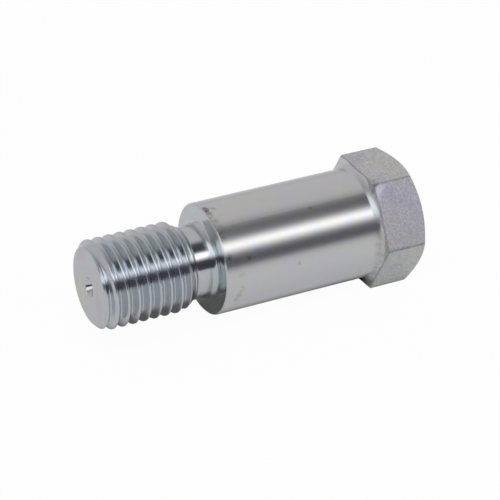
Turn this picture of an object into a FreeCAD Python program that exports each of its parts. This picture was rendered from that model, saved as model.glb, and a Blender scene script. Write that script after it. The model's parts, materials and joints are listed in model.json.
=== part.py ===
import FreeCAD, Part
import math
import os

# Tail lift pin: a shouldered bolt turned in one piece from hexagon bar. Sizes are in millimetres.
# The pin lies along X, its thread towards -X and its head towards +X, with a flat of the head down.
# The origin is on the axis, half way along the shank between the shoulder and the head.

# Shank, the plain journal that carries the load
SHANK_RADIUS = 15.0
SHANK_LENGTH = 46.0          # from the shoulder to the underside of the head
SHANK_EDGE_BREAK = 0.4       # 45 degree chamfer at the edge of the shoulder

# Hexagon head
HEAD_ACROSS_FLATS = 32.0
HEAD_HEIGHT = 12.5
HEAD_CHAMFER_ANGLE = 30.0    # cuts the corners back at the head's far end
HEAD_FACE_RADIUS = 15.65     # of the flat circle that the chamfer leaves there
HEAD_FILLET = 2.0            # where the shank runs into the underside of the head

# Thread: metric, coarse pitch, right-handed, one start
THREAD_RADIUS = 12.0
THREAD_PITCH = 3.0
THREAD_LENGTH = 23.2         # from the end of the pin to the last full crest
THREAD_DEPTH = 1.84          # standard 0.6134 of the pitch
THREAD_CREST = 0.375         # standard eighth of the pitch, the flat on top of the ridge
THREAD_FLANK_ANGLE = 30.0    # each flank, from the plane square to the axis
THREAD_START_ANGLE = 0.0     # where the groove leaves the end of the pin, from +Y towards +Z
LEAD_CHAMFER = 1.7           # 45 degree chamfer at the end of the pin

# Neck, the relief groove between the thread and the shoulder
NECK_RADIUS = 9.8
NECK_LENGTH = 8.8            # from the last full crest to the shoulder
NECK_FILLET = 1.6            # at the shoulder
RUNOUT_ANGLE = 35.0          # of the cone that ends the thread, from the axis

# Centre hole in the end of the pin, from turning it between centres
PILOT_RADIUS = 1.25
PILOT_DEPTH = 2.2            # beyond the countersink
COUNTERSINK_RADIUS = 2.65
COUNTERSINK_ANGLE = 30.0     # of its wall, from the axis
DRILL_POINT_ANGLE = 59.0     # of the pilot's bottom, from the axis

X_SHOULDER = -SHANK_LENGTH / 2
X_SEAT = SHANK_LENGTH / 2
X_HEAD_END = X_SEAT + HEAD_HEIGHT
X_CREST_END = X_SHOULDER - NECK_LENGTH
X_PIN_END = X_CREST_END - THREAD_LENGTH

# The pin is made in three lengths. They meet square to the axis, where the two fillets begin.
X_NECK_END = X_SHOULDER - NECK_FILLET
X_FILLET_START = X_SEAT - HEAD_FILLET

FILLET_PIECES = 3            # each fillet's arc is made of so many

ORIGIN = FreeCAD.Vector(0, 0, 0)
X_AXIS = FreeCAD.Vector(1, 0, 0)


def tan_deg(angle):
    return math.tan(math.radians(angle))


def at(x, radius):
    """A point of the half section: x along the pin, and its distance from the axis."""
    return FreeCAD.Vector(x, 0, radius)


def line(start, end):
    return Part.LineSegment(start, end).toShape()


def rounded_corner(before, corner, after, radius):
    """The arc that rounds a corner between two straight runs, with its two tangent points.

    It comes in equal pieces, each an exact spline of its piece of the circle, because a fillet turned
    from these meshes far lighter than a torus does.
    """
    back = (before - corner).normalize()
    ahead = (after - corner).normalize()
    half_angle = back.getAngle(ahead) / 2
    start = corner + back * (radius / math.tan(half_angle))
    end = corner + ahead * (radius / math.tan(half_angle))
    inwards = (back + ahead).normalize()
    centre = corner + inwards * (radius / math.sin(half_angle))
    whole = FreeCAD.Rotation(start - centre, end - centre)
    half_piece = math.degrees(whole.Angle) / FILLET_PIECES / 2
    points = []
    for k in range(2 * FILLET_PIECES + 1):
        turn = FreeCAD.Rotation(whole.Axis, half_piece * k)
        points.append(centre + turn.multVec(start - centre))
    pieces = []
    for k in range(0, 2 * FILLET_PIECES, 2):
        arc = Part.Arc(points[k], points[k + 1], points[k + 2])
        pieces.append(arc.toBSpline().toShape())
    return start, end, pieces


def turned(outline):
    """A solid of revolution about the pin's axis.

    The outline is a closed loop in the half section, a list of (x, radius, fillet) corners.
    """
    corners = [at(x, radius) for x, radius, fillet in outline]
    count = len(corners)
    starts, ends, arcs = [], [], []
    for i, (x, radius, fillet) in enumerate(outline):
        start, end, pieces = corners[i], corners[i], []
        if fillet:
            start, end, pieces = rounded_corner(corners[i - 1], corners[i], corners[(i + 1) % count], fillet)
        starts.append(start)
        ends.append(end)
        arcs.append(pieces)
    edges = []
    for i in range(count):
        edges += arcs[i]
        following = starts[(i + 1) % count]
        if not ends[i].isEqual(following, 1e-6):
            edges.append(line(ends[i], following))
    return Part.Face(Part.Wire(edges)).revolve(ORIGIN, X_AXIS, 360)


def moved(shape, offset):
    copy = shape.copy()
    copy.translate(offset)
    return copy


def threaded_bar(x_from, turns):
    """A bar whose surface is all thread, a whole number of turns long.

    One turn of skin is four ruled strips between helices: flank, root, flank and crest.
    It is repeated a pitch apart. A helicoid ramp and a flat step close each end of the bar.
    """
    root = THREAD_RADIUS - THREAD_DEPTH
    half_mouth = (THREAD_PITCH - THREAD_CREST) / 2
    half_root = half_mouth - THREAD_DEPTH * tan_deg(THREAD_FLANK_ANGLE)
    profile = [
        (THREAD_RADIUS, -half_mouth),
        (root, -half_root),
        (root, half_root),
        (THREAD_RADIUS, half_mouth),
        (THREAD_RADIUS, THREAD_PITCH - half_mouth),
    ]
    helices = []
    for radius, height in profile:
        helix = Part.makeHelix(THREAD_PITCH, THREAD_PITCH, radius)
        helices.append(moved(helix, FreeCAD.Vector(0, 0, height)).Edges[0])
    strips = [Part.makeRuledSurface(low, high) for low, high in zip(helices, helices[1:])]

    foot = FreeCAD.Vector(0, 0, -half_mouth)
    top = FreeCAD.Vector(0, 0, THREAD_PITCH - half_mouth)
    ramp = Part.makeRuledSurface(line(foot, top), helices[0])
    tooth = [FreeCAD.Vector(radius, 0, height) for radius, height in profile]
    step = Part.Face(Part.makePolygon([foot] + tooth + [top, foot]))

    faces = []
    for turn in range(turns):
        rise = FreeCAD.Vector(0, 0, turn * THREAD_PITCH)
        faces += [moved(strip, rise).Faces[0] for strip in strips]
    for rise in (ORIGIN, FreeCAD.Vector(0, 0, turns * THREAD_PITCH)):
        faces += [moved(closing, rise).Faces[0] for closing in (ramp, step)]
    skin = Part.makeShell(faces)
    skin.sewShape()
    bar = Part.makeSolid(skin)

    # A third of a turn about the diagonal sends the bar's Z to the pin's X, and its X to the pin's Y.
    bar.rotate(ORIGIN, FreeCAD.Vector(1, 1, 1), 120)
    bar.rotate(ORIGIN, X_AXIS, THREAD_START_ANGLE)
    bar.translate(X_AXIS * x_from)
    return bar


def threaded_end():
    """The thread with its lead chamfer, centre hole and run-out, and the neck as far as its fillet."""
    clear = THREAD_RADIUS + THREAD_PITCH
    runout = (THREAD_RADIUS - NECK_RADIUS) / tan_deg(RUNOUT_ANGLE)
    above = (clear - THREAD_RADIUS) / tan_deg(RUNOUT_ANGLE)
    countersink_depth = (COUNTERSINK_RADIUS - PILOT_RADIUS) / tan_deg(COUNTERSINK_ANGLE)
    x_pilot = X_PIN_END + countersink_depth
    x_bottom = x_pilot + PILOT_DEPTH
    x_point = x_bottom + PILOT_RADIUS / tan_deg(DRILL_POINT_ANGLE)
    turning = turned([
        (x_point, 0, 0),
        (x_bottom, PILOT_RADIUS, 0),
        (x_pilot, PILOT_RADIUS, 0),
        (X_PIN_END, COUNTERSINK_RADIUS, 0),
        (X_PIN_END, THREAD_RADIUS - LEAD_CHAMFER, 0),
        (X_PIN_END + LEAD_CHAMFER + clear - THREAD_RADIUS, clear, 0),
        (X_CREST_END - above, clear, 0),
        (X_CREST_END + runout, NECK_RADIUS, 0),
        (X_NECK_END, NECK_RADIUS, 0),
        (X_NECK_END, 0, 0),
    ])
    turns = math.ceil((X_NECK_END - X_PIN_END) / THREAD_PITCH) + 4
    bar = threaded_bar(X_PIN_END - 2 * THREAD_PITCH, turns)
    return bar.common(turning)


def shank():
    """The journal, with its shoulder and the fillet in front of it."""
    return turned([
        (X_NECK_END, 0, 0),
        (X_NECK_END, NECK_RADIUS, 0),
        (X_SHOULDER, NECK_RADIUS, NECK_FILLET),
        (X_SHOULDER, SHANK_RADIUS - SHANK_EDGE_BREAK, 0),
        (X_SHOULDER + SHANK_EDGE_BREAK, SHANK_RADIUS, 0),
        (X_FILLET_START, SHANK_RADIUS, 0),
        (X_FILLET_START, 0, 0),
    ])


def head():
    """The hexagon, turned to a cone at its far end and to a fillet where it meets the shank."""
    corner_radius = HEAD_ACROSS_FLATS / 2 / math.cos(math.pi / 6)
    hexagon = []
    for k in range(7):
        angle = math.radians(60 * k)
        y = corner_radius * math.cos(angle)
        z = corner_radius * math.sin(angle)
        hexagon.append(FreeCAD.Vector(X_FILLET_START, y, z))
    bar = Part.Face(Part.makePolygon(hexagon)).extrude(X_AXIS * (X_HEAD_END - X_FILLET_START))

    clear = 2 * SHANK_RADIUS
    cone = (clear - HEAD_FACE_RADIUS) * tan_deg(HEAD_CHAMFER_ANGLE)
    turning = turned([
        (X_FILLET_START - HEAD_FILLET, 0, 0),
        (X_FILLET_START - HEAD_FILLET, SHANK_RADIUS, 0),
        (X_SEAT, SHANK_RADIUS, HEAD_FILLET),
        (X_SEAT, clear, 0),
        (X_HEAD_END - cone, clear, 0),
        (X_HEAD_END, HEAD_FACE_RADIUS, 0),
        (X_HEAD_END, 0, 0),
    ])
    return bar.common(turning)


def lift_pin():
    return threaded_end().fuse([shank(), head()])


os.makedirs("parts", exist_ok=True)
pin = lift_pin()
pin.exportStep("parts/lift_pin.step")
print("solids", len(pin.Solids), "valid", pin.isValid(), "volume in mm3", round(pin.Volume, 1))
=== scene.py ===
# %% [markdown]
# # A tail lift pin in bright zinc plate
# The pin is a shouldered bolt, turned in one piece from hexagon bar: a threaded end, a relief neck,
# a plain shank and a hexagonal head. It lies along X on a flat of its head, thread towards -X.
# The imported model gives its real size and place, so the first step loads it and reads off the sizes
# that everything else follows.

# %% Load the frame
import bpy
import json
import math
import numpy as np
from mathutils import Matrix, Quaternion, Vector


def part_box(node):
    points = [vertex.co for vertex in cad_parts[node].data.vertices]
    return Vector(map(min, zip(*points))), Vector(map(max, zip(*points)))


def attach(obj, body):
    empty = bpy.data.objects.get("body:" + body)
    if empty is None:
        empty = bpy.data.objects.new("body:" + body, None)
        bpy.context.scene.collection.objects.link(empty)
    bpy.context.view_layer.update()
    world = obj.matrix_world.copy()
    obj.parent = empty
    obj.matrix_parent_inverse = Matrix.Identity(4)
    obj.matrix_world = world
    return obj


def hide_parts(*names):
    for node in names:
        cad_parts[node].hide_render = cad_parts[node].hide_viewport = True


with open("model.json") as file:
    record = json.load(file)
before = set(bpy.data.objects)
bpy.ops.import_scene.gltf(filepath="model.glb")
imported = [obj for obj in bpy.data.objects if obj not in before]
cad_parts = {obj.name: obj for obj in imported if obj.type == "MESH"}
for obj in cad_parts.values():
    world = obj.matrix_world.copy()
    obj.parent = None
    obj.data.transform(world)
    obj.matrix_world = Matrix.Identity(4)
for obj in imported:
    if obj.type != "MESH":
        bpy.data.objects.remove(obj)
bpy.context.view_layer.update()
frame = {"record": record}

MM = 0.001
low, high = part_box("lift_pin")
mounts = {mount["name"]: mount for mount in frame["record"]["mounts"]}

X_PIN_END = low.x / MM
X_HEAD_END = high.x / MM
HEAD_FLAT = -low.z / MM                  # from the axis to each flat of the hexagon
SHANK_RADIUS = mounts["shank"]["dims"]["r_mm"]
X_SHOULDER = mounts["shoulder"]["pos_m"][0] / MM
X_SEAT = -X_SHOULDER                     # the origin is half way from the shoulder to the head
print("pin from x", round(X_PIN_END, 2), "to", round(X_HEAD_END, 2), "mm; shank radius", SHANK_RADIUS)

# %% [markdown]
# ## The turned outline
# A lathe makes every form on this pin but the thread and the hexagon. The pin could be put together
# from cylinders and cones, but their edges would stay sharp. So the surface is worked out as a half
# section carried around the axis: a list of corners, x along the pin and radius from the axis, each
# with the radius of the arc that rounds it. Even a sharp edge on a real part has a tenth of a
# millimetre of rounding, and it is that rounding which catches the light.

# %% Sizes of the turned forms, in millimetres
THREAD_RADIUS = 12.0
LEAD_CHAMFER = 1.7                       # 45 degrees, at the end of the pin
RUNOUT_ANGLE = math.radians(35)          # of the cone that ends the thread, from the axis
NECK_RADIUS = 9.8
NECK_LENGTH = 8.8                        # from the last full crest to the shoulder
NECK_FILLET = 1.6                        # at the shoulder
SHANK_EDGE_BREAK = 0.4                   # 45 degree chamfer at the edge of the shoulder
HEAD_FILLET = 2.0                        # where the shank runs into the head
HEAD_CHAMFER_ANGLE = math.radians(30)    # cuts the corners back at the head's far end
FACE_RADIUS = HEAD_FLAT - 0.35           # of the flat circle that the chamfer leaves there

X_CREST_END = X_SHOULDER - NECK_LENGTH
X_NECK = X_CREST_END + (THREAD_RADIUS - NECK_RADIUS) / math.tan(RUNOUT_ANGLE)
print("last full crest at x", round(X_CREST_END, 2), "and neck from x", round(X_NECK, 2), "mm")

# %% Sizes of the centre hole, in millimetres
COUNTERSINK_RADIUS = 2.65
COUNTERSINK_ANGLE = math.radians(30)     # of its wall, from the axis
PILOT_RADIUS = 1.25
PILOT_DEPTH = 2.2                        # beyond the countersink
DRILL_POINT_DEPTH = 0.75                 # of the cone at the pilot's bottom

X_PILOT = X_PIN_END + (COUNTERSINK_RADIUS - PILOT_RADIUS) / math.tan(COUNTERSINK_ANGLE)
X_PILOT_END = X_PILOT + PILOT_DEPTH
print("centre hole", round(X_PILOT_END + DRILL_POINT_DEPTH - X_PIN_END, 2), "mm deep")

# %% Rounding of the edges, in millimetres
PILOT_EDGE = 0.1
END_FACE_EDGE = 0.12                     # both edges of the ring that faces the end of the pin
CREST_START_EDGE = 0.2
CREST_END_EDGE = 0.15
RUNOUT_FILLET = 0.8                      # where the run-out meets the neck
SHOULDER_EDGE = 0.15
SHANK_EDGE = 0.2
HEAD_EDGE = 0.25                         # both edges of the chamfer at the head's far end
CORNER_EDGE = 0.4                        # the hexagon's long edges, as the bar was drawn

# %% [markdown]
# ## Columns around the axis
# The surface is a grid: rows follow the outline and columns go around the axis. Even steps around the
# circle would miss the corners of the hexagon, which would then look chipped. So the columns are
# spaced evenly along each flat, with a few set close together at each corner, and the mesh has an
# edge wherever the steel has one.

# %% Angles of the columns
SIXTH = math.pi / 3                      # of a turn: each flat takes one
FLAT_INTERVALS = 28                      # between columns, along each flat


def column_angles():
    """The angle of every column, from +Y towards +Z, and how far a corner's rounding reaches.

    Each sixth of a turn starts on a corner of the hexagon. The rounding of a corner ends where its
    arc touches the flat: at the arctangent of (flat less rounding) times tan 30 over the flat.
    """
    reach = SIXTH / 2 - math.atan((HEAD_FLAT - CORNER_EDGE) * math.tan(SIXTH / 2) / HEAD_FLAT)
    flat = np.linspace(reach, SIXTH - reach, FLAT_INTERVALS + 1)
    one = np.concatenate([[0, reach / 2], flat, [SIXTH - reach / 2]])
    return np.concatenate([one + k * SIXTH for k in range(6)]), reach


def from_corner(angle):
    """The angle to the nearest corner of the hexagon, wrapped to half a sixth either way."""
    return (angle + SIXTH / 2) % SIXTH - SIXTH / 2


ANGLES, CORNER_REACH = column_angles()
COLUMNS = len(ANGLES)
print("columns", COLUMNS)


# %% The hexagon, seen along the axis
def hexagon_radius(angle):
    """Distance from the axis to the hexagon with rounded corners, at each angle.

    On a flat it is the flat's distance over the cosine of the angle from its middle. On a corner it
    is where the ray leaves a circle of the rounding's radius, centred on the corner's own ray.
    """
    off_corner = from_corner(angle)
    on_flat = HEAD_FLAT / np.cos(SIXTH / 2 - np.abs(off_corner))
    centre = (HEAD_FLAT - CORNER_EDGE) / math.cos(SIXTH / 2)
    half_chord = np.sqrt(np.maximum(CORNER_EDGE**2 - (centre * np.sin(off_corner)) ** 2, 0))
    on_corner = centre * np.cos(off_corner) + half_chord
    return np.where(np.abs(off_corner) < CORNER_REACH - 1e-9, on_corner, on_flat)


HEXAGON = hexagon_radius(ANGLES)
print("hexagon from", round(HEXAGON.min(), 2), "to", round(HEXAGON.max(), 2), "mm from the axis")

# %% [markdown]
# ## Rows along the outline
# Each corner of the outline becomes an arc, and each run between two arcs a few rows. A bevel
# modifier could round the edges too, but it would also cut into the thread. Here every row is given
# for all columns at once, as an array of (x, radius), so that a row may also follow the hexagon.


# %% A corner of the outline
def point(x, radius):
    """One corner of the outline for every column: an array of (x, radius) pairs."""
    x, radius = np.broadcast_arrays(x, radius, np.zeros(COLUMNS))[:2]
    return np.stack([x, radius], axis=-1).astype(float)


print("a corner is an array of shape", point(X_NECK, NECK_RADIUS).shape)


# %% The arc that rounds a corner
def arc_rows(before, corner, after, radius, count):
    """Rows of a circular arc that rounds a corner, tangent to the runs on both sides.

    The arc is a weighted quadratic curve: its ends lie at radius times the tangent of half the turn
    from the corner, its middle control point is the corner, and that point's weight is the cosine of
    half the turn, which makes the curve an exact circle.
    """
    back = before - corner
    ahead = after - corner
    back /= np.linalg.norm(back, axis=1, keepdims=True)
    ahead /= np.linalg.norm(ahead, axis=1, keepdims=True)
    half_turn = (math.pi - np.arccos(np.clip((back * ahead).sum(axis=1), -1, 1)))[:, None] / 2
    start = corner + back * radius * np.tan(half_turn)
    end = corner + ahead * radius * np.tan(half_turn)
    weight = np.cos(half_turn)
    rows = []
    for t in np.linspace(0, 1, count):
        near, middle, far = (1 - t) ** 2, 2 * t * (1 - t) * weight, t**2
        rows.append((near * start + middle * corner + far * end) / (near + middle + far))
    return rows


quarter_circle = arc_rows(point(0, 0), point(1, 0), point(1, 1), 1.0, 3)
print("middle of a quarter circle", quarter_circle[1][0].round(3).tolist())


# %% Arcs and the runs between them
def outline_rows(corners):
    """All rows of an outline given as (corner, radius of its arc, rows in the arc, rows after it).

    The rows after an arc stand evenly on the straight run to where the next arc starts.
    """
    rows = []
    for i, (corner, radius, in_arc, in_run) in enumerate(corners):
        if radius:
            rows += arc_rows(corners[i - 1][0], corner, corners[i + 1][0], radius, in_arc)
        else:
            rows.append(corner)
        if in_run:
            end, next_radius, next_count = corners[i + 1][:3]
            if next_radius:
                end = arc_rows(corner, end, corners[i + 2][0], next_radius, next_count)[0]
            start = rows[-1]
            rows += [start + (end - start) * t for t in np.linspace(0, 1, in_run + 2)[1:-1]]
    return rows


straight = outline_rows([(point(0, 1), 0, 0, 3), (point(4, 1), 0, 0, 0)])
print("a straight run of three rows stands at x", [float(row[0, 0]) for row in straight])

# %% The turned length, from the centre hole to the end of the shank
THREAD_ROW = 0.075                       # spacing of the rows along the thread
POLE_RADIUS = 0.05                       # of the first and last ring, each closed by one vertex


def turned_rows():
    """Rows from the bottom of the centre hole to where the shank runs into the head."""
    x_crest_start = X_PIN_END + LEAD_CHAMFER
    chamfer_rows = int(LEAD_CHAMFER / THREAD_ROW)
    crest_rows = int((X_CREST_END - x_crest_start) / THREAD_ROW)
    runout_rows = int((X_NECK - X_CREST_END) / THREAD_ROW)
    return outline_rows([
        (point(X_PILOT_END + DRILL_POINT_DEPTH, POLE_RADIUS), 0, 0, 3),
        (point(X_PILOT_END, PILOT_RADIUS), 0, 0, 3),
        (point(X_PILOT, PILOT_RADIUS), PILOT_EDGE, 3, 3),
        (point(X_PIN_END, COUNTERSINK_RADIUS), END_FACE_EDGE, 3, 24),
        (point(X_PIN_END, THREAD_RADIUS - LEAD_CHAMFER), END_FACE_EDGE, 4, chamfer_rows),
        (point(x_crest_start, THREAD_RADIUS), CREST_START_EDGE, 3, crest_rows),
        (point(X_CREST_END, THREAD_RADIUS), CREST_END_EDGE, 3, runout_rows),
        (point(X_NECK, NECK_RADIUS), RUNOUT_FILLET, 6, 6),
        (point(X_SHOULDER, NECK_RADIUS), NECK_FILLET, 12, 5),
        (point(X_SHOULDER, SHANK_RADIUS - SHANK_EDGE_BREAK), SHOULDER_EDGE, 4, 1),
        (point(X_SHOULDER + SHANK_EDGE_BREAK, SHANK_RADIUS), SHANK_EDGE, 4, 14),
        (point(X_SEAT - HEAD_FILLET, SHANK_RADIUS), 0, 0, 0),
    ])


TURNED_LENGTH = turned_rows()
print("rows on the turned length", len(TURNED_LENGTH))

# %% [markdown]
# ## The hexagonal head
# The head is bar stock: six flats that the lathe has cut back at both ends. Its far end is a cone,
# and under the head the fillet runs out over the flats, because the step from shank to flat is
# smaller than the fillet. A boolean could cut this, at the price of ragged edges. Instead each column
# of the grid stops where its own ray meets the flat, so the curved edges that the cuts leave are
# edges of the mesh and not steps across it. One corner of this pin's head has taken a knock.

# %% The seat under the head
SEAT_STEPS = 12
SEAT_EDGE = 0.18                         # rounding of the edge between the seat and the flats
WORN_CORNER = 0.3                        # what wear adds to that rounding at the hexagon's corners
WORN_REACH = 0.06                        # and how far from a corner, in radians
KNOCKED_CORNER = 2.2                     # what the knock adds at the one corner that it hit
KNOCKED_REACH = 0.15
KNOCKED_ANGLE = 2 * SIXTH                # the corner between the top flat and the front one


def seat_point(along):
    """A point of the curve under the head, at a distance along it from the end of the shank.

    The curve is a quarter circle of the fillet's radius and then a straight line away from the axis.
    """
    angle = np.minimum(along / HEAD_FILLET, math.pi / 2)
    beyond = np.maximum(along - HEAD_FILLET * math.pi / 2, 0)
    x = X_SEAT - HEAD_FILLET + HEAD_FILLET * np.sin(angle)
    radius = SHANK_RADIUS + HEAD_FILLET - HEAD_FILLET * np.cos(angle) + beyond
    return point(x, radius)


def seat_rows():
    """Rows from the end of the shank to where each column's ray meets the hexagon, and round its edge.

    The curve's length up to the hexagon is the fillet's radius times the angle whose cosine is
    (centre less hexagon) over the radius, and the straight line past the centre. Wear adds to the
    edge's rounding by a bell curve of the angle from the corner. The rounding's rows are a mean of
    its start, the corner and its end, weighted (1 - t) squared, 2 t (1 - t) and t squared.
    """
    centre = SHANK_RADIUS + HEAD_FILLET
    stop = np.arccos(np.clip((centre - HEXAGON) / HEAD_FILLET, 0, 1))
    length = HEAD_FILLET * stop + np.maximum(HEXAGON - centre, 0)
    rounding = SEAT_EDGE + WORN_CORNER * np.exp(-(from_corner(ANGLES) / WORN_REACH) ** 2)
    rounding += KNOCKED_CORNER * np.exp(-((ANGLES - KNOCKED_ANGLE) / KNOCKED_REACH) ** 2)
    rows = [seat_point(t * (length - rounding)) for t in np.linspace(0, 1, SEAT_STEPS)]
    start, corner = rows[-1], seat_point(length)
    end = corner + np.stack([rounding, np.zeros(COLUMNS)], axis=-1)
    for t in (1 / 3, 2 / 3, 1):
        rows.append((1 - t) ** 2 * start + 2 * t * (1 - t) * corner + t**2 * end)
    return rows


SEAT = seat_rows()
print("rows on the seat", len(SEAT))

# %% The hexagon and its far end
X_CONE = X_HEAD_END - (HEXAGON - FACE_RADIUS) * math.tan(HEAD_CHAMFER_ANGLE)
HEAD_LENGTH = outline_rows([
    (SEAT[-1], 0, 0, 8),
    (point(X_CONE, HEXAGON), HEAD_EDGE, 4, 2),
    (point(X_HEAD_END, FACE_RADIUS), HEAD_EDGE, 3, 8),
    (point(X_HEAD_END, POLE_RADIUS), 0, 0, 0),
])
GRID = np.array(TURNED_LENGTH[:-1] + SEAT + HEAD_LENGTH[1:])
print("rows", len(GRID), "of", COLUMNS, "columns")

# %% [markdown]
# ## The thread
# A screw thread could be swept along a helix, but its ends are hard to close that way. Here the
# thread is a groove that the turned surface is lowered into: at every point of the grid the radius is
# the smaller of the turned outline and the groove. The groove's place along the axis moves on by one
# pitch in each turn, so the same formula gives the full thread, the chamfered start and the run-out.

# %% The thread's groove
THREAD_PITCH = 3.0
THREAD_DEPTH = 1.84
THREAD_CREST = 0.375                     # the flat on top of the ridge
THREAD_FLANK_ANGLE = math.radians(30)    # each flank, from the plane square to the axis
CREST_ROUNDING = 0.22                    # rounded where outline and groove differ by less than this
ROOT_ROUNDING = 0.9


def soft_minimum(a, b, width):
    """The smaller of two values, rounded where they differ by less than width.

    It is the minimum less a quarter of width times the square of how deep the point lies in the
    rounded zone, which joins both sides without a kink.
    """
    depth = np.maximum(width - np.abs(a - b), 0) / width
    return np.minimum(a, b) - width * depth**2 / 4


def groove_radius(x, angle):
    """Distance from the axis to the V groove, at every x and angle.

    The offset from the groove's centre line is x less one pitch for each turn, wrapped to half a
    pitch either way. The radius is the root's, and rises from the edges of the root at 60 degrees.
    """
    turns = (x - X_PIN_END) / THREAD_PITCH - angle / (2 * math.pi)
    offset = np.abs((turns + 0.5) % 1 - 0.5) * THREAD_PITCH
    root = THREAD_RADIUS - THREAD_DEPTH
    half_root = (THREAD_PITCH - THREAD_CREST) / 2 - THREAD_DEPTH * math.tan(THREAD_FLANK_ANGLE)
    flank = root + (offset - half_root) / math.tan(THREAD_FLANK_ANGLE)
    return -soft_minimum(np.full_like(flank, -root), -flank, ROOT_ROUNDING)


# %% Cut the groove into the grid
x_row, radius_row = GRID[:, 0, 0].copy(), GRID[:, 0, 1].copy()
in_thread = (x_row < X_NECK) & (radius_row > THREAD_RADIUS / 2)
groove = groove_radius(GRID[in_thread, :, 0], ANGLES[None, :])
GRID[in_thread, :, 1] = soft_minimum(GRID[in_thread, :, 1], groove, CREST_ROUNDING)
print("rows in the thread", int(in_thread.sum()), "and deepest", round(GRID[in_thread, :, 1].min(), 2), "mm")

# %% [markdown]
# ## From grid to mesh
# A row of the grid becomes a ring of vertices. Neighbouring rings are joined by quads, the last
# column joins on to the first, and one vertex on the axis closes each end. The order of the corners
# makes every face point outwards. Each row also gets a number for its finish, because the tool that
# made a surface left its own look on it.

# %% Which finish each row has
FACED, CUT, TURNED_BRIGHT, SATIN, BAR, DRILLED = range(6)
HAIR = 0.02                              # rows nearer to a plane than this lie in it, in millimetres
CUT_MARGIN = 0.3                         # how far past the last full crest the cut finish goes
CONE_MARGIN = 0.1                        # how far past its edge the far end's finish starts


def row_finishes():
    """The number of the finish of each row, told by the row's place along the outline."""
    row = np.arange(len(GRID))
    in_hole = (x_row > X_PIN_END + HAIR) & (x_row < X_CREST_END) & (radius_row < THREAD_RADIUS / 2)
    on_ends = (x_row < X_PIN_END + HAIR) | (x_row > X_CONE[0] + CONE_MARGIN)
    in_cut = x_row < X_CREST_END + CUT_MARGIN
    before_shank = x_row < X_SHOULDER + SHANK_EDGE_BREAK / 2
    before_flats = (x_row <= X_SEAT + HAIR) & (row < len(TURNED_LENGTH) + SEAT_STEPS)
    return np.select([in_hole, on_ends, in_cut, before_shank, before_flats],
                     [DRILLED, FACED, CUT, TURNED_BRIGHT, SATIN], BAR)


ROW_FINISHES = row_finishes()
print("rows of each finish", np.bincount(ROW_FINISHES).tolist())


# %% Make the mesh
def surface_mesh(name, grid, finishes):
    """A closed mesh from rows of (x, radius): y and z are radius times the angle's cosine and sine."""
    rows, columns = grid.shape[:2]
    x, radius = grid[..., 0], grid[..., 1]
    ring = np.stack([x, radius * np.cos(ANGLES), radius * np.sin(ANGLES)], axis=-1).reshape(-1, 3)
    poles = np.array([[x[0].mean(), 0, 0], [x[-1].mean(), 0, 0]])
    vertices = np.concatenate([ring, poles]) * MM

    index = np.arange(rows * columns).reshape(rows, columns)
    next_column = np.roll(index, -1, axis=1)
    quads = np.stack([index[:-1], next_column[:-1], next_column[1:], index[1:]], axis=-1).reshape(-1, 4)
    first, last = rows * columns, rows * columns + 1
    start = np.stack([next_column[0], index[0], np.full(columns, first)], axis=-1)
    end = np.stack([index[-1], next_column[-1], np.full(columns, last)], axis=-1)

    mesh = bpy.data.meshes.new(name)
    mesh.from_pydata(vertices.tolist(), [], quads.tolist() + start.tolist() + end.tolist())
    bands = np.concatenate([finishes[1:], finishes[:1], finishes[-1:]])
    mesh.polygons.foreach_set("material_index", np.repeat(bands, columns).astype(np.int32))
    mesh.polygons.foreach_set("use_smooth", np.ones(len(bands) * columns, bool))
    mesh.update()
    return mesh


pin = bpy.data.objects.new("plated_pin", surface_mesh("plated_pin", GRID, ROW_FINISHES))
bpy.context.scene.collection.objects.link(pin)
print("triangles", sum(len(face.vertices) - 2 for face in pin.data.polygons))

# %% [markdown]
# ## Plain faces that look plain
# Smooth shading bends the light on a long plain face towards the small rounding at its edge. The
# rounding could get many more rows, but it is cheaper to weight the normals by face area: the large
# faces then keep their own direction right up to their edges. Two calls then hang the pin on the root
# body and hide the imported node lift_pin, which it stands in for.

# %% Even normals
even = pin.modifiers.new("even normals", "WEIGHTED_NORMAL")
even.mode = "FACE_AREA"
even.weight = 50
even.keep_sharp = False
print("modifiers", [modifier.name for modifier in pin.modifiers])

# %% The pin's place in the frame
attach(pin, "root")
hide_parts("lift_pin")
print(pin.name, "rides on the root and replaces lift_pin")

# %% [markdown]
# ## Colours, nodes and places
# A material is a tree of nodes, and three helpers keep it readable: one turns a colour as a designer
# writes it to the linear light that the renderer counts in, one adds a node with its settings and
# links, and one gives a point's place on the pin in millimetres, so that every pattern can be given
# its real size.


# %% Colours and nodes
def linear(colour):
    """An sRGB hex colour as linear RGBA: each channel by the standard curve, a power of 2.4."""
    channels = [int(colour[i:i + 2], 16) / 255 for i in (1, 3, 5)]
    return [c / 12.92 if c <= 0.04045 else ((c + 0.055) / 1.055) ** 2.4 for c in channels] + [1.0]


def add(tree, kind, inputs, stops=(), **settings):
    """Adds one node. Inputs are sockets to link or values to set, and stops are those of a ramp."""
    node = tree.nodes.new(kind)
    for name, value in settings.items():
        setattr(node, name, value)
    for place, value in inputs.items():
        if isinstance(value, bpy.types.NodeSocket):
            tree.links.new(value, node.inputs[place])
        else:
            node.inputs[place].default_value = value
    for i, (position, colour) in enumerate(stops):
        element = node.color_ramp.elements[i] if i < 2 else node.color_ramp.elements.new(position)
        element.position, element.color = position, colour
    return node


print("half grey in linear light", round(linear("#808080")[0], 3))


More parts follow.
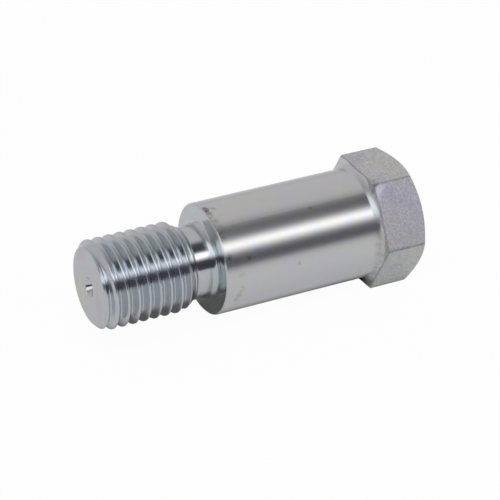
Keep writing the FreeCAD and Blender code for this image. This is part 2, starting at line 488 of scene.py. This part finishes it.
# %% Places on the pin
def pin_place(tree):
    """A point's place in millimetres, its x, y and z apart, and its place among rings round the axis.

    Object coordinates are in metres, so they are divided by a millimetre. Among the rings only x and
    the distance from the axis count, the length of (y, z), so a pattern there runs around the pin.
    """
    metres = add(tree, "ShaderNodeTexCoord", {}).outputs["Object"]
    place = add(tree, "ShaderNodeVectorMath", {0: metres, 1: (1 / MM,) * 3}, operation="MULTIPLY").outputs[0]
    axes = add(tree, "ShaderNodeSeparateXYZ", {0: place}).outputs
    across = add(tree, "ShaderNodeCombineXYZ", {1: axes[1], 2: axes[2]}).outputs[0]
    radius = add(tree, "ShaderNodeVectorMath", {0: across}, operation="LENGTH").outputs["Value"]
    rings = add(tree, "ShaderNodeCombineXYZ", {0: axes[0], 1: radius}).outputs[0]
    return place, axes, rings


# %% [markdown]
# ## Bright zinc plate
# Zinc plating is a thin bright metal coat, sealed with a clear film that tints it faintly violet, blue
# and straw. It follows the steel below, so one function makes every finish and takes what differs: the
# film's tints, the roughness and how strongly two patterns show. A picture could be wrapped round the
# pin instead, but it would smear where the outline turns. So the three patterns are worked out on the
# pin itself: patches of film a centimetre across, turning marks around the axis, and a fine grain.

# %% The three patterns
PATCH_SIZE = 9.09                        # of the film's tints, in millimetres
MARK_SIZE = 0.625                        # of the turning marks: real ones are too fine to show
FILM_FROM, FILM_TO = 0.34, 0.66          # the noise mostly stays between these


def zinc_patterns(tree, film, grain_size):
    """The film's tint, and the turning marks and the speck of the grain as levels about a half.

    Each is a noise whose scale is 1 over its size: of the place for patches and grain, and of the
    place among the rings for the marks. The film's tints are spread evenly over the patches' noise.
    """
    place, _, rings = pin_place(tree)
    patches = add(tree, "ShaderNodeTexNoise",
                  {"Vector": place, "Scale": 1 / PATCH_SIZE, "Detail": 3.0, "Roughness": 0.55}).outputs[0]
    turned = add(tree, "ShaderNodeTexNoise",
                 {"Vector": rings, "Scale": 1 / MARK_SIZE, "Detail": 4.0}).outputs[0]
    speck = add(tree, "ShaderNodeTexNoise",
                {"Vector": place, "Scale": 1 / grain_size, "Detail": 2.0, "Roughness": 0.6}).outputs[0]
    spread = np.linspace(FILM_FROM, FILM_TO, len(film))
    stops = [(position, linear(colour)) for position, colour in zip(spread, film)]
    tint = add(tree, "ShaderNodeValToRGB", {"Fac": patches}, stops=stops).outputs["Color"]
    return tint, turned, speck


print("patches of", PATCH_SIZE, "mm and marks of", MARK_SIZE, "mm")

# %% The plate
GRAIN_RELIEF = 0.05                      # in millimetres
RELIEF_STRENGTH = 0.4


def plate(name, film, roughness, grain, grain_size, marks):
    """Zinc plate: film is a list of hex tints, grain and marks say how strongly those patterns show.

    The tint is multiplied by 1, plus marks times (turning marks less a half), plus grain times
    (speck less a half). The roughness moves by half as much as the marks, and the speck is a relief.
    Without marks the roughness is even, and without grain there is no relief.
    """
    material = bpy.data.materials.new(name)
    material.use_nodes = True
    tree = material.node_tree
    tint, turned, speck = zinc_patterns(tree, film, grain_size)
    level = add(tree, "ShaderNodeMath", {0: turned, 1: marks, 2: 1 - marks / 2 - grain / 2},
                operation="MULTIPLY_ADD").outputs[0]
    level = add(tree, "ShaderNodeMath", {0: speck, 1: grain, 2: level}, operation="MULTIPLY_ADD").outputs[0]
    colour = add(tree, "ShaderNodeVectorMath", {0: tint, "Scale": level}, operation="SCALE").outputs[0]
    shader = tree.nodes["Principled BSDF"]
    shader.inputs["Metallic"].default_value = 1.0
    shader.inputs["Roughness"].default_value = roughness
    tree.links.new(colour, shader.inputs["Base Color"])
    if marks:
        rough = add(tree, "ShaderNodeMath", {0: turned, 1: marks / 2, 2: roughness - marks / 4},
                    operation="MULTIPLY_ADD").outputs[0]
        tree.links.new(rough, shader.inputs["Roughness"])
    if grain:
        relief = add(tree, "ShaderNodeMath", {0: speck, 1: grain}, operation="MULTIPLY").outputs[0]
        bump = add(tree, "ShaderNodeBump", {"Height": relief, "Strength": RELIEF_STRENGTH,
                   "Distance": GRAIN_RELIEF * MM}).outputs[0]
        tree.links.new(bump, shader.inputs["Normal"])
    return material


# %% [markdown]
# ## Layers over the plate
# Dirt and wear lie on top of the plate, so they are laid over it in the material too, and so is some
# painted shade: each layer takes the colour that feeds the shader so far, works on it and feeds the
# shader with the result. Painting them by hand would tie them to one mesh, while places in millimetres
# hold for any.


# %% Lay a colour over the plate
def colour_below(material):
    """The shader's colour input, and the socket that feeds it now."""
    base = material.node_tree.nodes["Principled BSDF"].inputs["Base Color"]
    return base, base.links[0].from_socket


def lay_over(material, share, colour):
    """Mixes a colour over what is there: below times (1 less share), and the colour times share."""
    base, below = colour_below(material)
    mixed = add(material.node_tree, "ShaderNodeMix", {0: share, 6: below, 7: linear(colour)},
                data_type="RGBA").outputs[2]
    material.node_tree.links.new(mixed, base)


# %% Stains and painted shade
# the brown of oily fingers for the stains, and also the colour of the painted shade at the fillet
GRIME_AND_SHADE = "#5a4a44"                        # brown, from oily fingers
TEAR_SIZE = 1.111                        # of the noise that breaks the stains up, in millimetres
TORN_FROM, TORN_TO = 0.30, 0.60          # noise at which a stain is gone, and at which it is whole


def stain_and_shade(material, spots):
    """Stains and painted shade: spots given as x, distance from the axis, angle in degrees, size and
    strength.

    A spot is strongest at its middle and falls to nothing at its size, by a smooth step of the
    distance. Where two meet, the stronger counts. A noise then multiplies them and tears them up.
    """
    tree = material.node_tree
    place = pin_place(tree)[0]
    darkening = 0.0
    for x, off_axis, degrees, size, strength in spots:
        turn = math.radians(degrees)
        middle = (x, off_axis * math.cos(turn), off_axis * math.sin(turn))
        away = add(tree, "ShaderNodeVectorMath", {0: place, 1: middle}, operation="DISTANCE").outputs["Value"]
        near = add(tree, "ShaderNodeMapRange", {"Value": away, "From Min": size, "From Max": 0.0,
                   "To Max": strength}, interpolation_type="SMOOTHSTEP").outputs[0]
        darkening = add(tree, "ShaderNodeMath", {0: near, 1: darkening}, operation="MAXIMUM").outputs[0]
    torn = add(tree, "ShaderNodeTexNoise",
               {"Vector": place, "Scale": 1 / TEAR_SIZE, "Detail": 5.0}).outputs[0]
    torn = add(tree, "ShaderNodeMapRange",
               {"Value": torn, "From Min": TORN_FROM, "From Max": TORN_TO}).outputs[0]
    darkening = add(tree, "ShaderNodeMath", {0: darkening, 1: torn}, operation="MULTIPLY").outputs[0]
    lay_over(material, darkening, GRIME_AND_SHADE)


# %% Angles about the axis
def turn_of(tree, y, z):
    """The angle whose tangent is z over y, in radians and as a share of the turn from -180 degrees."""
    angle = add(tree, "ShaderNodeMath", {0: z, 1: y}, operation="ARCTAN2").outputs[0]
    share = add(tree, "ShaderNodeMapRange",
                {"Value": angle, "From Min": -math.pi, "From Max": math.pi}).outputs[0]
    return angle, share


def share_of_turn(degrees):
    """The same share for an angle in degrees: the angle plus half a turn, over a whole one."""
    return (degrees + 180) / 360


print("straight up is at", share_of_turn(90), "of the turn")

# %% Tints from flat to flat
TINT_BLEND = 2                           # degrees each side of a corner, over which two tints blend


def tint_flats(material, tints):
    """Multiplies the colour by a tint for each span of angle, given as (from, to, tint) in degrees.

    Each tint holds from its start plus the blend to its end less the blend, and the ramp joins them.
    """
    tree = material.node_tree
    axes = pin_place(tree)[1]
    share = turn_of(tree, axes[1], axes[2])[1]
    stops = []
    for start, end, tint in tints:
        stops.append((share_of_turn(start + TINT_BLEND), linear(tint)))
        stops.append((share_of_turn(end - TINT_BLEND), linear(tint)))
    ramp = add(tree, "ShaderNodeValToRGB", {"Fac": share}, stops=stops).outputs["Color"]
    base, below = colour_below(material)
    tinted = add(tree, "ShaderNodeVectorMath", {0: below, 1: ramp}, operation="MULTIPLY").outputs[0]
    tree.links.new(tinted, base)


# %% Dark lines along the hexagon's corners, and painted shade along its seat
# colour of the dark lines at the corners and of the painted shade along the seat
EDGE_LINE_AND_SEAT_SHADE = "#544a4e"
CORNER_LINE = (0.5, 0.1, 0.35)           # starts and is full at, in millimetres off the edge; strength
# painted shade along the seat: starts and is full at, in millimetres off the seat; strength
SEAT_SHADE_BAND = (0.4, 0.1, 0.3)


def darken_edges(material):
    """Dark lines along the hexagon's corners, and painted shade on the flats along the seat.

    The angle to the nearest corner is the angle plus half a sixth of a turn, wrapped to a sixth, less
    half a sixth. Times the flat's distance from the axis it is about the distance off the edge.
    """
    tree = material.node_tree
    axes = pin_place(tree)[1]
    angle = turn_of(tree, axes[1], axes[2])[0]
    shifted = add(tree, "ShaderNodeMath", {0: angle, 1: SIXTH / 2}, operation="ADD").outputs[0]
    wrapped = add(tree, "ShaderNodeMath", {0: shifted, 1: SIXTH}, operation="FLOORED_MODULO").outputs[0]
    signed = add(tree, "ShaderNodeMath", {0: wrapped, 1: SIXTH / 2}, operation="SUBTRACT").outputs[0]
    off_corner = add(tree, "ShaderNodeMath", {0: signed}, operation="ABSOLUTE").outputs[0]
    start, full, strength = CORNER_LINE
    at_corner = add(tree, "ShaderNodeMapRange", {"Value": off_corner, "From Min": start / HEAD_FLAT,
                    "From Max": full / HEAD_FLAT, "To Max": strength}).outputs[0]
    # painted shade: a dark band on the flats where they meet the fillet under the head
    start, full, strength = SEAT_SHADE_BAND
    painted_seat_shade = add(tree, "ShaderNodeMapRange", {"Value": axes[0], "From Min": X_SEAT + start,
                  "From Max": X_SEAT + full, "To Max": strength}).outputs[0]
    at_edge = add(tree, "ShaderNodeMath", {0: at_corner, 1: painted_seat_shade}, operation="MAXIMUM").outputs[0]
    lay_over(material, at_edge, EDGE_LINE_AND_SEAT_SHADE)


# %% [markdown]
# ## Finish of the faced ends
# Both ends of the pin are faced in the lathe: the tool crosses them from the rim to the middle, and
# they come out smooth but not bright. They could share the shank's finish, but they turn away from
# the lights, so the film's tints show most on them and get a wider spread.

# %% Faced zinc
faced = plate("faced zinc", ["#cdc7d1", "#d4d1d3", "#d0d3d5", "#d9d6cb"],
              roughness=0.34, grain=0.10, grain_size=0.45, marks=0.03)
print(faced.name, "of", len(faced.node_tree.nodes), "nodes")

# %% [markdown]
# ## Finish of the thread
# The threading tool cuts the steel bright. The film is thickest down in the grooves, where it looks
# cold and a little blue, so the tints are the same grey with less red. A mirror-like finish would
# sparkle too hard between two flanks, so the roughness stays near a fifth.

# %% Bright cut zinc
cut = plate("bright cut zinc", ["#c6cdd1", "#ced2d5", "#cacfd6"],
            roughness=0.19, grain=0.06, grain_size=0.40, marks=0.05)
print(cut.name, "of", len(cut.node_tree.nodes), "nodes")

# %% [markdown]
# ## Finish of the neck and the shoulder
# The neck is turned with a fine feed and mirrors its surroundings more sharply than thread or shank.
# The turning marks are strongest here. They could be cut as grooves, but at this size it is enough
# that they change the brightness and the roughness a little.

# %% Bright turned zinc
turned_bright = plate("bright turned zinc", ["#c4cdd3", "#d0d2d1", "#c8ccd5"],
                      roughness=0.15, grain=0.06, grain_size=0.40, marks=0.06)
print(turned_bright.name, "of", len(turned_bright.node_tree.nodes), "nodes")

# %% [markdown]
# ## Finish of the shank
# The journal is turned and then brushed by the other parts in the plating barrel, which leaves a satin
# that blurs the lights into soft bands. Hands have left brown specks on it: most along the edge of the
# shoulder, where a finger wipes dirt off, and a faint trail down the front. A darker ring round the
# lower front of the fillet under the head is painted shade, laid on in the same way.

# %% Places of the stains and of the painted shade
# Each is x along the pin, angle in degrees, size in millimetres and strength.
SHOULDER_SPECKS = [
    (-22.1, 91, 1.6, 0.9), (-22.3, 95, 1.5, 0.9), (-22.2, 99, 1.5, 0.6), (-20.4, 94, 1.3, 0.4),
    (-22.4, 104, 1.8, 0.35), (-22.1, 111, 2.1, 0.35), (-22.3, 119, 2.4, 0.35), (-21.9, 128, 2.6, 0.3),
    (-21.8, 152, 1.4, 0.8), (-16.1, 157, 0.9, 0.6),
]
FRONT_TRAIL = [
    (-18.7, 172, 1.1, 0.5), (-18.4, 187, 1.0, 0.5), (-18.6, 190, 1.1, 0.45), (-19.2, 195, 1.3, 0.4),
    (-19.9, 201, 1.3, 0.35),
]
LOOSE_SPECKS = [(-2.0, 175, 0.7, 0.45), (4.5, 122, 0.7, 0.35), (17.0, 205, 0.9, 0.2)]
# painted shade: a darker band round the lower front of the fillet under the head, stronger towards the bottom
FILLET_SHADE_RING = [
    (22.4, 168, 2.4, 0.3), (22.4, 177, 2.6, 0.35), (22.4, 187, 2.6, 0.35), (22.4, 197, 2.6, 0.35),
    (22.4, 207, 2.6, 0.4), (22.4, 217, 2.6, 0.45),
]
KNOCK_STAIN = (22.6, 17.6, 120, 2.6, 0.75)    # on the knocked corner, so with its distance from the axis

# the stains of the shank, with the ring of painted shade at the fillet among them
shank_stains_and_shade = [(x, SHANK_RADIUS, degrees, size, strength) for x, degrees, size, strength
                in SHOULDER_SPECKS + FRONT_TRAIL + LOOSE_SPECKS + FILLET_SHADE_RING]
print("stains on the shank", len(shank_stains_and_shade))

# %% Satin turned zinc
satin = plate("satin turned zinc", ["#d7d4da", "#d6d6d9", "#d8d7d3", "#d3d5db"],
              roughness=0.27, grain=0.09, grain_size=0.35, marks=0.03)
stain_and_shade(satin, shank_stains_and_shade + [KNOCK_STAIN])
print(satin.name, "of", len(satin.node_tree.nodes), "nodes")

# %% [markdown]
# ## Finish of the flats
# The flats are the skin of the drawn bar, never machined, so they are matte and frosted with a strong
# grain. The film dried differently on each: nearly clear on top, violet in front, greenish below. One
# even tint would make the head look cast, so the colour is multiplied by a tint for each flat, and the
# three that the photo doesn't show share one. The grain is drawn at 0.6 mm, which is coarser than the
# real frost, because that is too fine to show.

# %% Matte bar zinc
bar = plate("matte bar zinc", ["#f4f1fa", "#fefeff", "#fcfbf4"],
            roughness=0.42, grain=0.85, grain_size=0.6, marks=0.0)
tint_flats(bar, [(-180, -120, "#ccceca"), (-120, 60, "#d0d0d2"), (60, 120, "#d6d5d5"), (120, 180, "#d6d4dc")])
darken_edges(bar)
stain_and_shade(bar, [KNOCK_STAIN])
print(bar.name, "of", len(bar.node_tree.nodes), "nodes")

# %% [markdown]
# ## Finish of the centre hole
# The drill leaves its countersink and pilot bright, with rings from its feed. Nothing rubs in there,
# so it has turning marks but no grain.

# %% Bright drilled zinc
drilled = plate("bright drilled zinc", ["#cfcfd3", "#d4d5d7"],
                roughness=0.14, grain=0.0, grain_size=0.40, marks=0.04)
for finish in (faced, cut, turned_bright, satin, bar, drilled):
    pin.data.materials.append(finish)
print("finishes on the pin", len(pin.data.materials))

# %% [markdown]
# ## Studio
# The pin stands in a white tent with one long strip light above the camera and a dark flag on each
# side of it. Bright metal shows nothing but its surroundings, so these bands are what draws its form.
# Area lamps could make them, but each would end somewhere in the long shank's reflection. So they are
# written as a ramp over the angle around the pin's axis, which is the same as endless lights lying
# parallel to the pin. Surfaces that lean towards the threaded end see a second ramp: there the strip
# ends, and a wide bluish panel stands beside it. That panel is what picks out the fillets.

# %% Brightness of the studio, by angle in degrees: 0 is the horizon in front and 90 straight up
TENT = 0.66
FLAG = np.array(linear("#44404f")[:3])   # black cloth, which is never quite black
STRIP = 2.3
PANEL_TINT = 1.06 * np.array(linear("#f3f8ff")[:3])
LIGHTS = (26, 85)                        # the strip and the panel hang between these angles
STRIP_END = (0.3, 0.1)                   # x of the directions in which the strip starts to end, and has
STUDIO_LEVEL = 0.925                     # of all of it together

ALONG_THE_PIN = [
    (-180, TENT), (-8.5, TENT), (-4, FLAG), (27, FLAG), (32, 0.55), (37, 1.5), (43, STRIP), (48, 2.1),
    (53, 1.0), (58, FLAG), (65, FLAG), (72, 0.06), (81, 0.08), (88, 0.32), (96, TENT), (160, TENT),
    (180, 0.5),
]
OFF_THE_END = [
    (-180, TENT), (-9, TENT), (-3, FLAG), (26, FLAG), (33, 0.75), (38, 1.12), (44, 1.28), (56, 1.28),
    (68, 1.2), (75, 0.95), (81, 0.6), (87, 0.42), (94, 0.38), (100, 0.42), (112, 0.5), (130, 0.58),
    (150, TENT), (180, 0.6),
]
print("stops along the pin", len(ALONG_THE_PIN), "and off its end", len(OFF_THE_END))


# %% The tent, its strip light, flags and panel
def bands(tree, share, levels, tint):
    """Brightness by angle, as a colour ramp. A ramp holds nothing above 1, so it is scaled up after."""
    stops = []
    for degrees, level in levels:
        channels = np.ones(3) * level * (tint if LIGHTS[0] < degrees < LIGHTS[1] else 1)
        stops.append((share_of_turn(degrees), [*(channels / STRIP), 1.0]))
    ramp = add(tree, "ShaderNodeValToRGB", {"Fac": share}, stops=stops).outputs["Color"]
    return add(tree, "ShaderNodeVectorMath", {0: ramp, "Scale": STRIP}, operation="SCALE").outputs[0]


def studio():
    """The world: brightness by the angle about the X axis, whose tangent is z over minus y.

    The two ramps blend by a smooth step of the direction's x, from the first to the second.
    """
    world = bpy.data.worlds.new("tent")
    world.use_nodes = True
    tree = world.node_tree
    direction = add(tree, "ShaderNodeTexCoord", {}).outputs["Generated"]
    axes = add(tree, "ShaderNodeSeparateXYZ", {0: direction}).outputs
    front = add(tree, "ShaderNodeMath", {0: axes[1], 1: -1.0}, operation="MULTIPLY").outputs[0]
    share = turn_of(tree, front, axes[2])[1]
    off_end = add(tree, "ShaderNodeMapRange",
                  {"Value": axes[0], "From Min": STRIP_END[0], "From Max": STRIP_END[1]},
                  interpolation_type="SMOOTHSTEP").outputs[0]
    along = bands(tree, share, ALONG_THE_PIN, np.ones(3))
    beside = bands(tree, share, OFF_THE_END, PANEL_TINT)
    light = add(tree, "ShaderNodeMix", {0: off_end, 6: along, 7: beside}, data_type="RGBA").outputs[2]
    background = tree.nodes["Background"]
    background.inputs["Strength"].default_value = STUDIO_LEVEL
    tree.links.new(light, background.inputs["Color"])
    return world


bpy.context.scene.world = studio()
print("world", bpy.context.scene.world.name)

# %% [markdown]
# ## Floor
# The pin lies on white paper, which has to be plain white behind it and still take its shadow. More
# light would bleach the pin as well. So the paper's material mixes matte paper with plain white, and
# asks which kind of ray is looking: the camera sees nearly all white, the metal a share of it, and
# everything else sees the paper. Right under the pin, where paper and pin nearly touch, shade is
# painted into the paper's colour. There the metal also sees less of the white, and near the head, which
# closes the paper in from the side, none of it: painted shade in the paper's reflection.

# %% Floor disc
FLOOR_RADIUS = 6.0                       # in metres, so that its edge is never in view
RIM_POINTS = 64


def floor_disc():
    """A flat disc: points at the floor's radius times cosine and sine, at the lowest flat's height."""
    turn = np.linspace(0, 2 * math.pi, RIM_POINTS, endpoint=False)
    z = np.full_like(turn, low.z)
    ring = np.stack([FLOOR_RADIUS * np.cos(turn), FLOOR_RADIUS * np.sin(turn), z], axis=-1)
    mesh = bpy.data.meshes.new("floor")
    mesh.from_pydata(ring.tolist(), [], [list(range(RIM_POINTS))])
    return mesh


floor = bpy.data.objects.new("floor", floor_disc())
bpy.context.scene.collection.objects.link(floor)
print("floor at z", round(low.z / MM, 2), "mm")

# %% Where the painted shade lies on the paper under the pin, in millimetres
UNDER_ACROSS = (12.0, 4.0)               # from the axis: the dark starts, and is full
UNDER_PAST_END = (2.0, -8.0)             # past the pin's ends: the same
# painted shade in the metal's view of the paper: under the pin it loses this share of its white, near the
# head all
BY_HEAD = (5.0, 16.0)                    # x: the head starts to close the paper in, and does so fully
BY_NECK_SHARE = 0.6                      # how far the rest of the pin closes it in


def painted_shade_masks(tree):
    """The painted shade on the paper under the pin, and the painted shade in the metal's view of it: 0 to 1.

    The shade on the paper is a smooth step of the distance from the axis, times one of the distance past
    the pin's ends. The shade in the metal is that, times a ramp along x that rises towards the head.
    """
    middle, half_length = (low.x + high.x) / 2, (high.x - low.x) / 2
    place = add(tree, "ShaderNodeTexCoord", {}).outputs["Object"]
    axes = add(tree, "ShaderNodeSeparateXYZ", {0: place}).outputs
    across = add(tree, "ShaderNodeMath", {0: axes[1]}, operation="ABSOLUTE").outputs[0]
    along = add(tree, "ShaderNodeMath", {0: axes[0], 1: middle}, operation="SUBTRACT").outputs[0]
    along = add(tree, "ShaderNodeMath", {0: along}, operation="ABSOLUTE").outputs[0]
    near_axis = add(tree, "ShaderNodeMapRange",
                    {"Value": across, "From Min": UNDER_ACROSS[0] * MM, "From Max": UNDER_ACROSS[1] * MM},
                    interpolation_type="SMOOTHSTEP").outputs[0]
    inside = add(tree, "ShaderNodeMapRange",
                 {"Value": along, "From Min": half_length + UNDER_PAST_END[0] * MM,
                  "From Max": half_length + UNDER_PAST_END[1] * MM},
                 interpolation_type="SMOOTHSTEP").outputs[0]
    # painted shade on the paper under the pin
    painted_floor_shade = add(tree, "ShaderNodeMath", {0: near_axis, 1: inside}, operation="MULTIPLY").outputs[0]
    by_head = add(tree, "ShaderNodeMapRange", {"Value": axes[0], "From Min": BY_HEAD[0] * MM,
                  "From Max": BY_HEAD[1] * MM, "To Min": BY_NECK_SHARE}).outputs[0]
    # painted shade in the metal's view of the paper
    painted_metal_shade = add(tree, "ShaderNodeMath", {0: by_head, 1: painted_floor_shade}, operation="MULTIPLY").outputs[0]
    return painted_floor_shade, painted_metal_shade


# %% White paper
OPEN_PAPER = "#f8f8f8"
# painted shade: the paper's colour right under the pin
PAINTED_SHADE_ON_PAPER = "#5f5c57"
WHITE_TO_CAMERA = 0.97                   # the rest is matte paper, and takes the shadow
WHITE_IN_METAL = 0.24


def white_paper():
    """Matte paper mixed with plain white: the share of white depends on the kind of ray.

    It is one share for the camera's rays, and for mirrored or transmitted ones another, times
    1 less the painted shade in the metal's view of the paper. Other rays see matte paper alone, painted
    darker under the pin.
    """
    material = bpy.data.materials.new("white paper")
    material.use_nodes = True
    tree = material.node_tree
    tree.nodes.clear()
    painted_floor_shade, painted_metal_shade = painted_shade_masks(tree)
    ray = add(tree, "ShaderNodeLightPath", {}).outputs
    mirrored = add(tree, "ShaderNodeMath", {0: ray["Is Glossy Ray"], 1: ray["Is Transmission Ray"]},
                   operation="MAXIMUM").outputs[0]
    # painted shade in the metal: less white where the paper lies under the pin
    open_share = add(tree, "ShaderNodeMath", {0: painted_metal_shade, 1: -WHITE_IN_METAL, 2: WHITE_IN_METAL},
                     operation="MULTIPLY_ADD").outputs[0]
    mirrored = add(tree, "ShaderNodeMath", {0: mirrored, 1: open_share}, operation="MULTIPLY").outputs[0]
    share = add(tree, "ShaderNodeMath", {0: ray["Is Camera Ray"], 1: WHITE_TO_CAMERA, 2: mirrored},
                operation="MULTIPLY_ADD").outputs[0]
    shade = add(tree, "ShaderNodeMix", {0: painted_floor_shade, 6: linear(OPEN_PAPER), 7: linear(PAINTED_SHADE_ON_PAPER)},
                data_type="RGBA").outputs[2]
    paper = add(tree, "ShaderNodeBsdfDiffuse", {"Color": shade}).outputs[0]
    white = add(tree, "ShaderNodeEmission", {"Color": (1, 1, 1, 1), "Strength": 1.0}).outputs[0]
    mix = add(tree, "ShaderNodeMixShader", {0: share, 1: paper, 2: white}).outputs[0]
    add(tree, "ShaderNodeOutputMaterial", {"Surface": mix})
    return material


floor.data.materials.append(white_paper())
print("floor material", floor.data.materials[0].name)

# %% [markdown]
# ## Camera
# A long lens stands a little over half a metre away, so the pin tapers only slightly towards the head.
# Its place, its target and its small roll were found by matching the outline of the shank, the
# thread's crests and the hexagon to the photograph: guessing the angle by eye leaves errors of several
# degrees, which show at once in a shape as plain as this.

# %% Camera
CAMERA_PLACE = Vector((-238.25, -442.53, 287.70)) * MM
CAMERA_TARGET = Vector((-7.56, 2.41, -2.32)) * MM
CAMERA_ROLL = math.radians(0.83)
CAMERA_LENS = 157.04                     # in millimetres, on the sensor below
SENSOR_WIDTH = 36

camera_data = bpy.data.cameras.new("camera")
camera_data.lens = CAMERA_LENS
camera_data.sensor_width = SENSOR_WIDTH
camera_data.clip_start = 0.01
camera = bpy.data.objects.new("camera", camera_data)
bpy.context.scene.collection.objects.link(camera)
camera.location = CAMERA_PLACE
aim = (CAMERA_TARGET - CAMERA_PLACE).to_track_quat("-Z", "Y")
camera.rotation_mode = "QUATERNION"
camera.rotation_quaternion = aim @ Quaternion((0, 0, 1), CAMERA_ROLL)
bpy.context.scene.camera = camera
bpy.context.scene.view_settings.view_transform = "Standard"
print("camera", round((CAMERA_TARGET - CAMERA_PLACE).length / MM), "mm from the pin")
